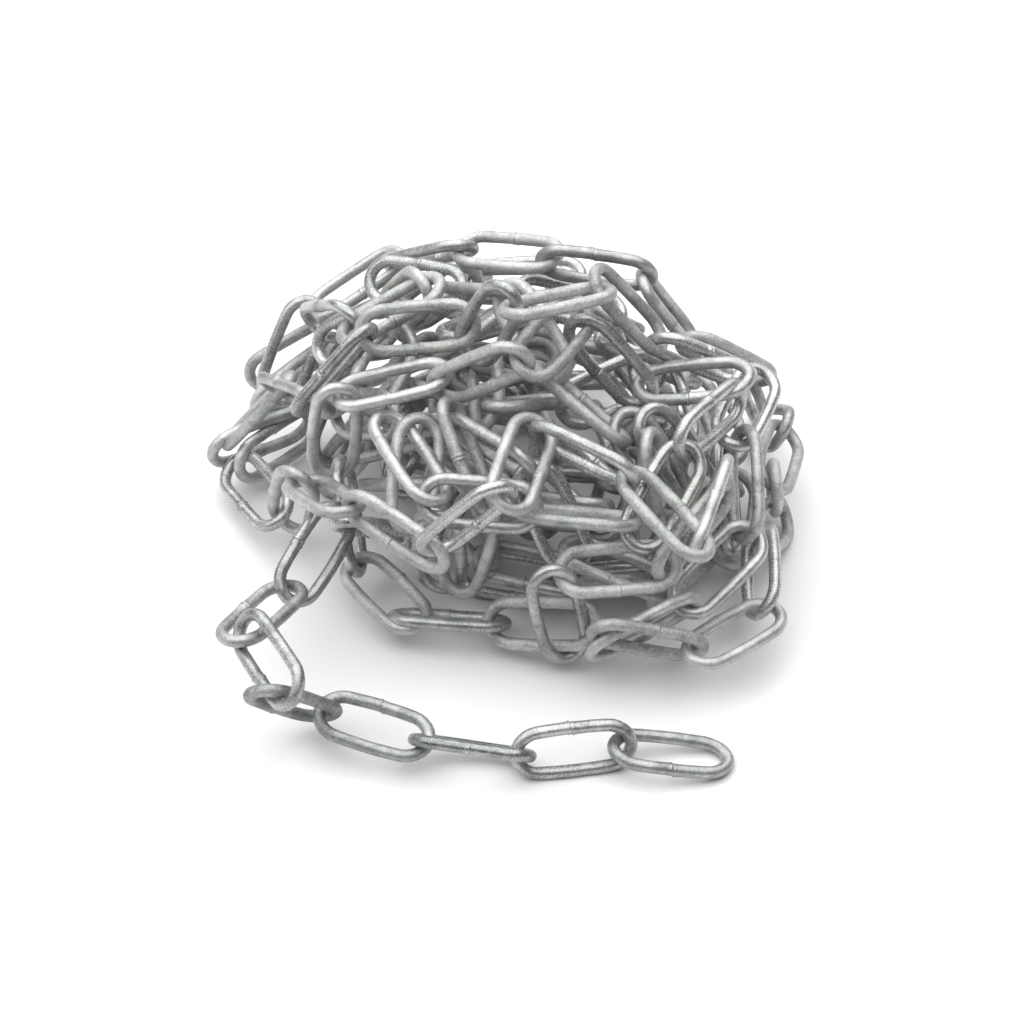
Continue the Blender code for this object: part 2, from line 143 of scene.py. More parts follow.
# How the hand circles as it lets the chain down: its turn, and its swing out, from link to link.
TURN_PER_LINK = 0.62
LEAST_SWING = 0.35
MORE_SWING = 0.65
SWING_PER_LINK = 0.171
# What a millimetre costs: of height, of lying lower than the fall point, of distance from it, above
# what is under the link, of distance from a route, and of room that the next link lacks on a route
# and on the trailing end.  Leaving the heap costs most.
COST_HIGH = 0.8
COST_UNDER = 1.2
COST_AWAY = 0.45
COST_HANGING = 0.5
COST_OFF_WAY = 0.6
COST_ROOM = 0.5
COST_TAIL_ROOM = 0.3
COST_OUTSIDE = 100
# What a pixel costs that an end of a link misses its place in the photograph by.
COST_NEAR_END = 0.25
COST_FAR_END = 0.4
# A route over the heap: its steps, how many link lengths are looked at, the fewest steps that a link
# is taken to go on, the steps that may be left at its end, and the links taken back when one is stuck.
ROUTE_STEP = 2.0
LOOKED_ALONG = 1.2
LEAST_STEPS = 3
STEPS_LEFT = 4
TAKEN_BACK = 3
# How many links of the heap's inside are taken back at once: from the first number to just below
# the second.
FILL_TAKEN_BACK = (2, 30)


def outline_of_link(step):
    """Points round the middle line of a link, in its own plane."""
    straight = round(2 * HALF_STRAIGHT / step)
    bend = round(math.pi * BEND / step)
    along = np.linspace(-HALF_STRAIGHT, HALF_STRAIGHT, straight, endpoint=False)
    turn = np.linspace(-math.pi / 2, math.pi / 2, bend, endpoint=False)
    lower = np.column_stack([along, np.full(straight, -BEND)])
    right = np.column_stack([HALF_STRAIGHT + BEND * np.cos(turn), BEND * np.sin(turn)])
    return np.vstack([lower, right, -lower, -right])


LINE_STEP = 2.0
LINE = outline_of_link(LINE_STEP)
# The ground in squares: their side, the middle of the first one, and how many there are each way.
SQUARE_SIDE = 4.0
FIRST_SQUARE = np.array([-140.0, -180.0])
SQUARES = (71, 81)


def lines_of(middles, alongs, faces):
    """The middle lines of several links as points in space."""
    acrosses = np.cross(faces, alongs)
    return (
        middles[..., None, :]
        + LINE[:, :1] * alongs[..., None, :]
        + LINE[:, 1:] * acrosses[..., None, :]
    )


def seen_from(points, middles, alongs, faces):
    """Points given in the directions of each link: along it, across it and out of its plane."""
    acrosses = np.cross(faces, alongs)
    dx = points[..., 0:1] - middles[:, 0]
    dy = points[..., 1:2] - middles[:, 1]
    dz = points[..., 2:3] - middles[:, 2]
    return [
        dx * axis[:, 0] + dy * axis[:, 1] + dz * axis[:, 2]
        for axis in (alongs, acrosses, faces)
    ]


def wire_distance(points, middles, alongs, faces):
    """How far each point lies from the middle line of each link."""
    x, y, z = seen_from(points, middles, alongs, faces)
    ring = np.hypot(np.maximum(np.abs(x) - HALF_STRAIGHT, 0), y) - BEND
    return np.hypot(ring, z)


def threads(line, middles, alongs, faces):
    """Whether a closed line goes through the opening of each link an odd number of times."""
    x, y, z = seen_from(line, middles, alongs, faces)
    after = [np.roll(values, -1, axis=0) for values in (x, y, z)]
    crosses = (z > 0) != (after[2] > 0)
    share = np.where(crosses, z / np.where(crosses, z - after[2], 1), 0)
    x = x + share * (after[0] - x)
    y = y + share * (after[1] - y)
    inside = np.hypot(np.maximum(np.abs(x) - HALF_STRAIGHT, 0), y) < BEND
    return (crosses & inside).sum(axis=0) % 2 == 1


def hung_on(last, turns, gap):
    """The poses of links that hang on the far bend of the last one, for rows of five turns."""
    middle, along, face = last
    across = np.cross(face, along)
    on_old, old_side, on_new, new_side, crossing = (turns[:, i, None] for i in range(5))
    outward = np.cos(on_old) * along + np.sin(on_old) * across
    old_wire = np.cos(on_old) * across - np.sin(on_old) * along
    old_point = middle + HALF_STRAIGHT * along + BEND * outward
    inward = np.sin(old_side) * face - np.cos(old_side) * outward
    new_point = old_point + gap * inward
    new_wire = np.cos(crossing) * old_wire + np.sin(crossing) * np.cross(inward, old_wire)
    sideways = np.cross(new_wire, inward)
    reach = np.sin(new_side) * sideways - np.cos(new_side) * inward
    alongs = np.cos(on_new) * reach + np.sin(on_new) * new_wire
    acrosses = np.cos(on_new) * new_wire - np.sin(on_new) * reach
    middles = new_point + BEND * reach + HALF_STRAIGHT * alongs
    return middles, alongs, np.cross(alongs, acrosses)


def square_of(points):
    """The square of the ground that lies under each point."""
    squares = np.round((points[..., :2] - FIRST_SQUARE) / SQUARE_SIDE).astype(int)
    squares = np.clip(squares, 1, np.array(SQUARES) - 2)
    return squares[..., 0], squares[..., 1]


class Heap:
    """The links laid so far, in order."""

    def __init__(self, seed):
        self.middles = np.zeros((0, 3))
        self.alongs = np.zeros((0, 3))
        self.faces = np.zeros((0, 3))
        self.tops = [np.full(SQUARES, FLOOR - WIRE)]
        self.chance = np.random.default_rng(seed)
        self.next_turns = self.some_turns(WAYS_COUNTED)

    def __len__(self):
        return len(self.middles)

    def some_turns(self, count):
        return SQUARE + TURNS * self.chance.uniform(-1, 1, (count, len(TURNS)))

    def add(self, middle, along, face):
        """Adds a link, rounded so that every computer lays the same heap."""
        along = np.round(along / np.linalg.norm(along), DIRECTION_DECIMALS)
        face = face - (face @ along) * along
        face = np.round(face / np.linalg.norm(face), DIRECTION_DECIMALS)
        self.middles = np.vstack([self.middles, np.round(middle, PLACE_DECIMALS)])
        self.alongs = np.vstack([self.alongs, along])
        self.faces = np.vstack([self.faces, face])

    def top(self):
        """The height of the highest wire over each square of the ground."""
        while len(self.tops) <= len(self):
            heights = self.tops[-1].copy()
            line = lines_of(*self.some(len(self.tops) - 1))
            for point in line:
                column, row = square_of(point)
                patch = heights[column - 1 : column + 2, row - 1 : row + 2]
                np.maximum(patch, point[2], out=patch)
            self.tops.append(heights)
        return self.tops[-1]

    def cut_to(self, count):
        self.middles = self.middles[:count]
        self.alongs = self.alongs[:count]
        self.faces = self.faces[:count]
        self.tops = self.tops[: count + 1]

    def last(self):
        return self.middles[-1], self.alongs[-1], self.faces[-1]

    def some(self, chosen):
        return self.middles[chosen], self.alongs[chosen], self.faces[chosen]

    def near(self, point, reach):
        return np.nonzero(((self.middles - point) ** 2).sum(axis=1) < reach * reach)[0]

    def fits(self, poses, gap, floor=FLOOR):
        """Which of the poses are clear of the floor and of all links, and hang on the last one only."""
        lines = lines_of(*poses)
        fit = lines[..., 2].min(axis=1) > floor - FLOOR_SLACK
        newest = len(self) - 1
        fit &= wire_distance(lines, *self.some([newest]))[..., 0].min(axis=1) > gap - GAP_SLACK
        for i in np.nonzero(fit)[0]:
            around = self.near(poses[0][i], 2 * HALF_LENGTH + CLEAR)
            others = self.some(around[around != newest])
            if len(others[0]) and wire_distance(lines[i], *others).min() < CLEAR:
                fit[i] = False
                continue
            fit[i] = (threads(lines[i], *self.some(around)) == (around == newest)).all()
        return fit

    def ways_on(self, pose, gap):
        """How many of a fixed set of next links would fit after this one."""
        self.add(*pose)
        count = self.fits(hung_on(self.last(), self.next_turns, gap), gap).sum()
        self.cut_to(len(self) - 1)
        return count

    def first_that_fits(self, turns, costs, gap, wanted):
        """The cheapest row of turns that fits and leaves the wanted number of ways on."""
        best, most = None, 0
        poses = hung_on(self.last(), turns, gap)
        order = np.argsort(costs, kind="stable")
        for start in range(0, len(order), AT_ONCE):
            block = order[start : start + AT_ONCE]
            for row in block[self.fits([part[block] for part in poses], gap)]:
                ways = self.ways_on([part[row] for part in poses], gap)
                if ways > most:
                    best, most = row, ways
                if most >= wanted:
                    return best, most
        return best, most

    def lay(self, aim, gap, tries=200, rounds=6, wanted=5):
        """Lays the next link where the aim costs least, and tells whether it found a place."""
        turns = self.some_turns(tries)
        costs = aim(*hung_on(self.last(), turns, gap))
        row, ways = self.first_that_fits(turns, costs, gap, wanted)
        if row is None:
            return False
        chosen, cost = turns[row], costs[row]
        spread = FIRST_SPREAD
        for _ in range(rounds):
            turns = chosen + TURNS * spread * self.chance.normal(0, 1, (TRIES_AROUND, len(TURNS)))
            turns = np.clip(turns, SQUARE - TURNS, SQUARE + TURNS)
            costs = aim(*hung_on(self.last(), turns, gap))
            better = np.nonzero(costs < cost)[0]
            row, found = self.first_that_fits(turns[better], costs[better], gap, min(ways, wanted))
            if row is not None and found >= min(ways, wanted):
                chosen, cost = turns[better][row], costs[better][row]
                spread *= AFTER_GAIN
            else:
                spread *= AFTER_MISS
        pose = hung_on(self.last(), chosen[None], gap)
        self.add(*(part[0] for part in pose))
        return True


def room_cost(heap, middles, alongs):
    """What it costs to end a link where the floor or another link leaves no room for the next."""
    ahead = middles + (HALF_LENGTH + ROOM_AHEAD) * alongs
    short = np.maximum(0, ROOM_WANTED - ahead[:, 2])
    around = heap.near(middles.mean(axis=0), ROOM_LOOKED_AT)
    around = around[around != len(heap) - 1]
    if len(around):
        free = wire_distance(ahead, *heap.some(around)).min(axis=1)
        short = np.maximum(short, ROOM_WANTED - free)
    return short


def rest_cost(heap, poses):
    """How far the two halves of a link hang above whatever lies under them."""
    lines = lines_of(*poses)
    drops = lines[..., 2] - heap.top()[square_of(lines)] - WIRE
    drops = np.maximum(drops, 0)
    near_half = LINE[:, 0] < 0
    return drops[:, near_half].min(axis=1) + drops[:, ~near_half].min(axis=1)


def reach_of_heap(angles):
    """How far the heap's outline lies from its middle in each direction."""
    corners = np.array(HEAP_OUTLINE) - HEAP_MIDDLE
    directions = np.arctan2(corners[:, 1], corners[:, 0])
    order = np.argsort(directions)
    reaches = np.hypot(*corners.T)
    return np.interp(angles, directions[order], reaches[order], period=2 * math.pi)


def outness(points):
    """How far out a point lies, as a share of the way to the edge of the heap on the floor."""
    x, y = points[..., 0] - HEAP_MIDDLE[0], points[..., 1] - HEAP_MIDDLE[1]
    return np.hypot(x, y) / reach_of_heap(np.arctan2(y, x))


def heap_top(points):
    """The height of the heap's surface over each point."""
    return HEAP_HEIGHT * (1 - np.minimum(outness(points), 1) ** FULLNESS)


def edge_at(height):
    """The share of the heap's outline that is left at a height inside it."""
    return np.clip(1 - height / (INSIDE * HEAP_HEIGHT), 0, 1) ** (1 / FULLNESS)


def fall_point(number):
    """Where link number so and so of the heap's inside falls: the hand circles as it lowers them."""
    level = 1 - (1 - number / FILL_LINKS) ** (1 / (1 + 2 / FULLNESS))
    level *= INSIDE * HEAP_HEIGHT
    turn = FIRST_TURN + TURN_PER_LINK * number
    swing = LEAST_SWING + MORE_SWING * abs(math.sin(SWING_PER_LINK * number))
    reach = swing * edge_at(level) * INSIDE * reach_of_heap(turn)
    return HEAP_MIDDLE + reach * np.array([math.cos(turn), math.sin(turn)]), level


def falling(heap, number):
    """An aim that drops a link near its fall point, as low as it can go and inside the heap."""
    point, level = fall_point(number)

    def aim(middles, alongs, faces):
        ends = middles + HALF_LENGTH * alongs
        height = (middles[:, 2] + ends[:, 2]) / 2
        away = np.hypot(*((ends[:, :2] - point).T))
        out = outness(ends) / INSIDE - edge_at(ends[:, 2])
        return (
            COST_HIGH * height
            + COST_UNDER * np.maximum(0, level - height)
            + COST_AWAY * away
            + COST_HANGING * rest_cost(heap, (middles, alongs, faces))
            + room_cost(heap, middles, alongs)
            + COST_OUTSIDE * np.maximum(0, out)
        )

    return aim


def in_view(points):
    """Points as the photograph shows them, in its pixels."""
    scale = VIEW_SCALE / (VIEW_DISTANCE + points @ FORWARD)
    return np.stack(
        [VIEW_MIDDLE + (points @ RIGHTWARD) * scale, VIEW_MIDDLE - (points @ UPWARD) * scale],
        axis=-1,
    )


def seen_at(heap, near_end, far_end):
    """An aim that puts a link's two ends where the photograph shows them, and low on the floor."""

    def aim(*poses):
        middles, alongs, _ = poses
        near = in_view(middles - OUTER_HALF * alongs) - near_end
        far = in_view(middles + OUTER_HALF * alongs) - far_end
        miss = COST_NEAR_END * np.hypot(*near.T) + COST_FAR_END * np.hypot(*far.T)
        off = np.abs(middles[:, 2] - heap_top(middles) - WIRE)
        return miss + COST_OFF_FLOOR * off + COST_TAIL_ROOM * room_cost(heap, middles, alongs)

    return aim


def on_surface(seen):
    """The point of the heap's surface, or of the floor, that lies at a place in the photograph."""
    right = (seen[0] - VIEW_MIDDLE) / VIEW_SCALE
    up = (VIEW_MIDDLE - seen[1]) / VIEW_SCALE
    ray = DEPTHS * (FORWARD + up * UPWARD + right * RIGHTWARD) - VIEW_DISTANCE * FORWARD
    above = ray[:, 2] - heap_top(ray) - WIRE
    first = np.argmax(above <= 0)
    if ray[first, 1] > BACK:
        first = np.argmin(above + PAST_EDGE * (outness(ray) > 1))
    return ray[first]


def route_through(seen_points):
    """Points at even steps along the way over the heap through places in the photograph."""
    corners = np.array([on_surface(seen) for seen in seen_points])
    legs = np.linalg.norm(np.diff(corners, axis=0), axis=1)
    marks = np.concatenate([[0], np.cumsum(legs)])
    steps = np.arange(0, marks[-1], ROUTE_STEP)
    return np.column_stack([np.interp(steps, marks, corners[:, i]) for i in range(3)])


def following(heap, goal, way):
    """An aim that ends a link near the goal and keeps it on the way there."""

    def aim(*poses):
        middles, alongs, _ = poses
        miss = np.linalg.norm(middles + HALF_LENGTH * alongs - goal, axis=1)
        gaps = np.linalg.norm(middles[:, None] - way, axis=2)
        return (
            miss
            + COST_OFF_WAY * gaps.min(axis=1)
            + COST_HANGING * rest_cost(heap, poses)
            + COST_ROOM * room_cost(heap, middles, alongs)
        )

    return aim


def lay_along(heap, route):
    """Lays links along a route over the heap, each as far on as it will reach."""
    reached = 0
    stride = round(INNER_LENGTH / ROUTE_STEP)
    for _ in range(MOST_ON_ROUTE):
        way = route[reached : reached + round(LOOKED_ALONG * stride)]
        goal = way[min(stride, len(way) - 1)]
        if heap.lay(following(heap, goal, way), gap_for(len(heap))):
            end = heap.middles[-1] + HALF_LENGTH * heap.alongs[-1]
            reached += max(LEAST_STEPS, np.argmin(np.linalg.norm(way - end, axis=1)))
        else:
            heap.cut_to(len(heap) - TAKEN_BACK)
        if reached > len(route) - STEPS_LEFT:
            return


# Places that the chain passes over the heap, read off the photograph, in the order in which the
# chain is laid here.
OVER_HEAP = [
    (430, 400),
    (400, 480),
    (398, 530),
    (420, 590),
    (385, 605),
    (455, 650),
    (497, 600),
    (506, 636),
    (590, 610),
    (583, 565),
    (630, 545),
    (682, 540),
    (695, 480),
    (668, 447),
    (586, 487),
    (488, 503),
    (385, 535),
    (330, 540),
    (283, 530),
    (245, 460),
    (262, 480),
    (330, 470),
    (402, 472),
    (478, 432),
    (560, 385),
    (605, 345),
    (690, 370),
    (665, 430),
    (662, 480),
    (680, 520),
    (640, 540),
    (600, 580),
    (595, 622),
    (700, 628),
    (737, 610),
    (745, 540),
    (780, 515),
    (760, 500),
    (735, 470),
    (760, 425),
    (750, 385),
    (697, 345),
    (661, 325),
    (625, 312),
    (595, 290),
    (541, 260),
    (480, 262),
    (425, 275),
    (372, 290),
    (325, 335),
    (303, 360),
    (296, 400),
    (300, 440),
    (350, 440),
]
# The two ends of each link of the trailing end, read the same way, from the free end on.
TAIL = [
    ((735, 760), (606, 762)),
    ((638, 768), (510, 745)),
    ((536, 752), (407, 738)),
    ((436, 738), (314, 708)),
    ((358, 720), (252, 690)),
    ((308, 700), (240, 618)),
    ((262, 665), (296, 583)),
    ((285, 602), (345, 505)),
]
# How far the first link tilts up from its free end, and what a millimetre off the floor or off the
# heap costs a later one.
TAIL_TILT = math.radians(10)
COST_OFF_FLOOR = 1.0
# One link lies with a flat of its section on the floor: the first that has room for it, how far its
# plane can lean over from level, and the small turns and moves that are tried.
FIRST_SET_DOWN = 1
LEANS = np.radians([22.5, 67.5])
TURNED = np.radians(np.arange(-16, 17, 2))
MOVED = np.arange(-3, 3.1, 0.3)


def on_floor(seen, height):
    """The point at this height over the floor that lies at a place in the photograph."""
    right = (seen[0] - VIEW_MIDDLE) / VIEW_SCALE
    up = (VIEW_MIDDLE - seen[1]) / VIEW_SCALE
    ray = FORWARD + up * UPWARD + right * RIGHTWARD
    start = -VIEW_DISTANCE * FORWARD
    return start + ray * (height - start[2]) / ray[2]


def set_down(heap):
    """Turns the newest link so that a flat of its lower bar lies on the floor, if there is room."""
    was = heap.last()
    middle, along, face = was
    heap.cut_to(len(heap) - 1)
    up = np.array([0.0, 0.0, 1.0])
    heading = math.atan2(along[1], along[0])
    lean = min(LEANS, key=lambda angle: abs(angle - math.acos(min(1, abs(face[2])))))
    middle = np.append(middle[:2], TO_FLAT + BEND * math.sin(lean))
    side = math.copysign(1, face[2] * (face @ np.cross(up, along)))
    ways = []
    for turn in TURNED:
        flat = np.array([math.cos(heading + turn), math.sin(heading + turn), 0.0])
        leaning = math.cos(lean) * up + side * math.sin(lean) * np.cross(up, flat)
        for right in MOVED:
            for on in MOVED:
                cost = HALF_LENGTH * abs(turn) + math.hypot(right, on)
                ways.append((cost, (middle + [right, on, 0], flat, leaning)))
    ways.sort(key=lambda way: way[0])
    poses = [np.array(part) for part in zip(*(pose for _, pose in ways))]
    fit = heap.fits(poses, CLEAR_FINE, TO_FLAT)
    first = np.argmax(fit)
    heap.add(*([part[first] for part in poses] if fit[first] else was))
    return fit[first]


def lay_tail(heap):
    """Lays the trailing end, which starts with a link whose free end lies on the floor."""
    ends = [on_floor(seen, FLOOR) for seen in TAIL[0]]
    flat = (ends[1] - ends[0]) / np.linalg.norm(ends[1] - ends[0])
    up = np.array([0.0, 0.0, 1.0])
    along = math.cos(TAIL_TILT) * flat + math.sin(TAIL_TILT) * up
    face = math.cos(TAIL_TILT) * up - math.sin(TAIL_TILT) * flat
    middle = (ends[0] + ends[1]) / 2 + up * HALF_LENGTH * math.sin(TAIL_TILT)
    heap.add(middle, along, face)
    is_down = False
    for number, (near_end, far_end) in enumerate(TAIL[1:], start=1):
        aim = seen_at(heap, near_end, far_end)
        heap.lay(aim, CLEAR_FINE, tries=400, rounds=12)
        if number >= FIRST_SET_DOWN and not is_down:
            is_down = set_down(heap)


def gap_for(number):
    """Links of the trailing end, and runs of chain, are solids of their own."""
    in_run = (number - len(TAIL)) % RUN_LINKS
    return JOINED if number > len(TAIL) and in_run else CLEAR


def fill_heap(heap):
    """Lays the links of the heap's inside, and takes some back wherever the chain is stuck."""
    start = len(heap)
    for back in range(*FILL_TAKEN_BACK):
        while len(heap) < start + FILL_LINKS:
            if not heap.lay(falling(heap, len(heap) - start), gap_for(len(heap))):
                break
        if len(heap) == start + FILL_LINKS:
            return
        heap.cut_to(max(start, len(heap) - back))


def lay_heap():
    heap = Heap(SEED)
    lay_tail(heap)
    fill_heap(heap)
    lay_along(heap, route_through(OVER_HEAP))
    return heap


def middle_of_floor(heap):
    """The middle of the heap on the floor, which the model has at its origin."""
    lines = lines_of(heap.middles, heap.alongs, heap.faces).reshape(-1, 3)
    low, high = lines.min(axis=0), lines.max(axis=0)
    return np.array([(low[0] + high[0]) / 2, (low[1] + high[1]) / 2, 0.0])


# How far from the weld its step and its burnt seam reach, in millimetres.
WELD_REACH = 6.0
SEAM_REACH = 3.0
WEAR_SEED = 11
# Links of the trailing end whose weld shows in the photograph, and whether each is turned over to
# show it there.
TURNED_OVER = {0: True, 1: False, 2: False, 3: True}

# Painted shade: how much darker the trailing end on the floor is painted than the heap, so that it
# looks less lit, as a share of the spread of tones from link to link.
TAIL_PAINTED_SHADE = 0.85

# The zinc: sizes of its clouds, crystals, grain and runs and the depth of its relief, in metres.
CLOUD_SIZE = 0.009
CRYSTAL_SIZE = 0.0016
GRAIN_SIZE = 0.0006
RUN_SIZE = 0.0026
RELIEF = 0.0003
DARK_ZINC = (0.195, 0.207, 0.196)
LIGHT_ZINC = (0.62, 0.632, 0.614)
ROUGHNESS = (0.22, 0.54)
GRAIN_SHARE = 0.85
METAL_SHARE = 0.64
ZINC_IOR = 1.6
# Octaves of the clouds, the grain and the runs, and how rough the grain and the others are.
CLOUD_DETAIL = 3
GRAIN_DETAIL = 5
RUN_DETAIL = 2
SOFT = 0.55
CRISP = 0.7
# Shares in the tone: of the clouds, of the spread from link to link, which also carries the painted
# shade of the trailing end, of the crystals, and of the specks of the grain, which count for more on a
# matt link.
CLOUD_TONE = 0.9
LINK_TONE = 0.24
CRYSTAL_TONE = 0.16
SPECK_TONE = 0.13
MATT_SPECK_TONE = 0.18
# Where the tone goes from dark to light, the grain from plain to speck, and the seam from plain to
# burnt, and how burnt it gets.
TONE_RANGE = (0.35, 1.0)
SPECK_RANGE = (0.4, 0.6)
BURNT_RANGE = (0.93, 0.99)
BURNT_SHARE = 0.35
BURNT_ZINC = (0.16, 0.16, 0.155)
# Shares in the roughness of how matt a link is and of its grain, and where their sum goes from
# smooth to rough.
MATT_ROUGH = 0.6
GRAIN_ROUGH = 0.6
ROUGH_RANGE = (0.28, 0.95)
# Shares in the relief: of the crystals, of the smoothest link, and of a matt one beyond that.
CRYSTAL_RELIEF = 0.12
LEAST_RELIEF = 0.22
MATT_RELIEF = 0.8

# The studio, in metres and watts: the floor's half width, the scale, detail and two tones of its
# faint haze, and its roughness and gloss.
FLOOR_HALF = 4.0
HAZE_SCALE = 3.0
HAZE_DETAIL = 2.0
HAZE_TONES = [(0.3, 0.82), (0.7, 0.84)]
FLOOR_ROUGH = 0.9
FLOOR_GLOSS = 0.1
# The light of the room, and the place, the width and the strength of the ceiling's.
ROOM_LIGHT = 0.05
CEILING = ((-0.1, 0.1, 1.1), math.radians(96), 4.2)
# The soft lights: name, place, target, size and watts.
SOFT_LIGHTS = [
    ("back", (0.1, 1.3, 0.95), (0, 0, 0.05), (2.4, 1.4), 11),
    ("left", (-1.1, -0.2, 0.6), (0, 0, 0), (0.8, 0.8), 2.5),
]
# The camera: its sensor in millimetres, and what it sees, in metres from it.
SENSOR = 36.0
SEES_FROM = 0.05
SEES_TO = 20

# The round wire of the finished links: sides of its section, and rings round each bend.
SIDES = 16
BEND_RINGS = 13
# Rings along half of the welded side, as distances from the weld in millimetres, and how far each
# stands proud of the wire at the collar that the weld leaves.
WELD_RINGS = [0.14, 0.42, 0.75, 1.15, 2.0, 4.0, 6.5, 9.0]
COLLAR = [-0.02, 0.22, 0.2, 0.05, 0.0, 0.0, 0.0, 0.0]
# The rings between the bends on the plain side, how near a ring may come to a bend, and how near two
# points are one, in millimetres.
PLAIN_RINGS = 7
RING_ROOM = 0.3
MERGED = 0.001
# How far a link is drawn out at each end that is joined in a run.  It takes away the bite that the
# model's wires have where they meet at the tip of a bend, and only part of it at the side.
DRAWN_OUT = (WIRE - JOINED) / 2
# What bending and dipping do to a link: the share by which it narrows towards its ends and, in
# millimetres, the lumps of the zinc, their size and the spread of the places where their noise is
# read, how far the weld lies off the middle, and the step between the two ends that it joins.
PINCH = 0.14
LUMP = 0.055
LUMP_SIZE = 4.0
LUMP_SPREAD = 500
WELD_WANDER = 1.6
WELD_STEP = 0.16
# The least and the most of the narrowing and of the collar that a link has, as shares of each.
PINCH_SHARES = (0.4, 1.2)
COLLAR_SHARES = (0.5, 1.4)


def ring_of_edges(geometry):
    return [part for part in geometry if isinstance(part, bmesh.types.BMEdge)]


def carried_on(shape, edges, place):
    """Carries the open end of the wire on to a place along X."""
    made = bmesh.ops.extrude_edge_only(shape, edges=edges)["geom"]
    verts = [part for part in made if isinstance(part, bmesh.types.BMVert)]
    bmesh.ops.translate(shape, verts=verts, vec=(place - verts[0].co.x, 0, 0))
    return ring_of_edges(made)


def bent_round(shape, edges, centre):
    """Bends the open end of the wire half a turn round a centre on X."""
    made = bmesh.ops.spin(
        shape,
        geom=edges,
        cent=(centre, 0, 0),
        axis=(0, 0, 1),
        angle=math.pi,
        steps=BEND_RINGS,
    )["geom_last"]
    return ring_of_edges(made)


def bent_wire(near, far, weld):
    """A link's wire along X, with bends round near and far, starting and ending at its weld."""
    shape = bmesh.new()
    made = bmesh.ops.create_circle(shape, segments=SIDES, radius=WIRE / 2)["verts"]
    turned = Matrix.Rotation(math.pi / 2, 3, "Y")
    bmesh.ops.rotate(shape, verts=made, matrix=turned)
    bmesh.ops.translate(shape, verts=made, vec=(weld + WELD_RINGS[0], -BEND, 0))
    edges = list(shape.edges)
    for distance in WELD_RINGS[1:]:
        if weld + distance < far - RING_ROOM:
            edges = carried_on(shape, edges, weld + distance)
    edges = carried_on(shape, edges, far)
    edges = bent_round(shape, edges, far)
    for place in np.linspace(far, near, PLAIN_RINGS + 2)[1:]:
        edges = carried_on(shape, edges, place)
    edges = bent_round(shape, edges, near)
    for distance in reversed(WELD_RINGS):
        if weld - distance > near + RING_ROOM:
            edges = carried_on(shape, edges, weld - distance)
    closing = [edge for edge in shape.edges if edge.is_boundary]
    bmesh.ops.bridge_loops(shape, edges=closing)
    bmesh.ops.remove_doubles(shape, verts=shape.verts, dist=MERGED)
    bmesh.ops.recalc_face_normals(shape, faces=shape.faces)
    return shape


def bowed_and_worn(shape, near, far, weld, chance):
    """Gives the wire its bowed sides, the collar and step of its weld, and the lumps of its zinc."""
    step = WELD_STEP * chance.uniform(-1, 1, 2)
    collar = chance.uniform(*COLLAR_SHARES)
    pinch = PINCH * chance.uniform(*PINCH_SHARES)
    middle, reach = (near + far) / 2, (far - near) / 2 + BEND
    start = Vector(chance.uniform(-LUMP_SPREAD, LUMP_SPREAD, 3))
    seam = shape.verts.layers.float.new("seam")
    for vert in shape.verts:
        x, y = vert.co.x, vert.co.y
        along = max(near, min(far, x))
        out = Vector((x - along, y, 0)).normalized()
        core = Vector((along, 0, 0)) + BEND * out
        spoke = vert.co - core
        if near < x < far and y < 0:
            distance = abs(x - weld)
            spoke *= 1 + collar * np.interp(distance, WELD_RINGS, COLLAR) / (WIRE / 2)
            side = math.copysign(max(0, 1 - distance / WELD_REACH), x - weld)
            core += side * Vector((0, step[0], step[1]))
            vert[seam] = max(0, 1 - distance / SEAM_REACH)
        spoke *= 1 + LUMP * noise.noise((vert.co + start) / LUMP_SIZE) / (WIRE / 2)
        core.y *= 1 - pinch * ((core.x - middle) / reach) ** 2
        vert.co = core + spoke


def real_link(number, joints, chance):
    """One finished link at the origin: drawn out where it is joined to its neighbours, and worn, with a
    random tone that holds painted shade on the trailing end.
    """
    near = -HALF_STRAIGHT - DRAWN_OUT * joints[0]
    far = HALF_STRAIGHT + DRAWN_OUT * joints[1]
    weld = WELD_WANDER * chance.uniform(-1, 1)
    shape = bent_wire(near, far, weld)
    bowed_and_worn(shape, near, far, weld, chance)
    # A random tone from link to link, with painted shade taken off it on the links of the trailing end.
    tone = chance.uniform() - TAIL_PAINTED_SHADE * (number < len(TAIL))
    for name, value in (("tone", tone), ("matt", chance.uniform())):
        layer = shape.verts.layers.float.new(name)
        for vert in shape.verts:
            vert[layer] = value
    return shape


def laid(shape, pose, shift, turned_over):
    """Moves a finished link to where it lies, in metres, with nothing of it below the floor."""
    middle, along, face = pose
    if turned_over:
        face = -face
    across = np.cross(face, along)
    rows = np.column_stack([along * MM, across * MM, face * MM, (middle - shift) * MM])
    shape.transform(Matrix([list(row) for row in rows] + [[0, 0, 0, 1]]))
    for vert in shape.verts:
        vert.co.z = max(vert.co.z, 0)
    return shape


def piece_of_chain(name, shapes, node, finish):
    """Several laid links as one piece that stands for one CAD node."""
    whole = bmesh.new()
    for shape in shapes:
        part = bpy.data.meshes.new("part")
        shape.to_mesh(part)
        shape.free()
        whole.from_mesh(part)
        bpy.data.meshes.remove(part)
    mesh = bpy.data.meshes.new(name)
    whole.to_mesh(mesh)
    whole.free()
    mesh.shade_smooth()
    mesh.materials.append(finish)
    piece = bpy.data.objects.new(name, mesh)
    bpy.context.scene.collection.objects.link(piece)
    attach(piece, "root")
    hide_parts(node)


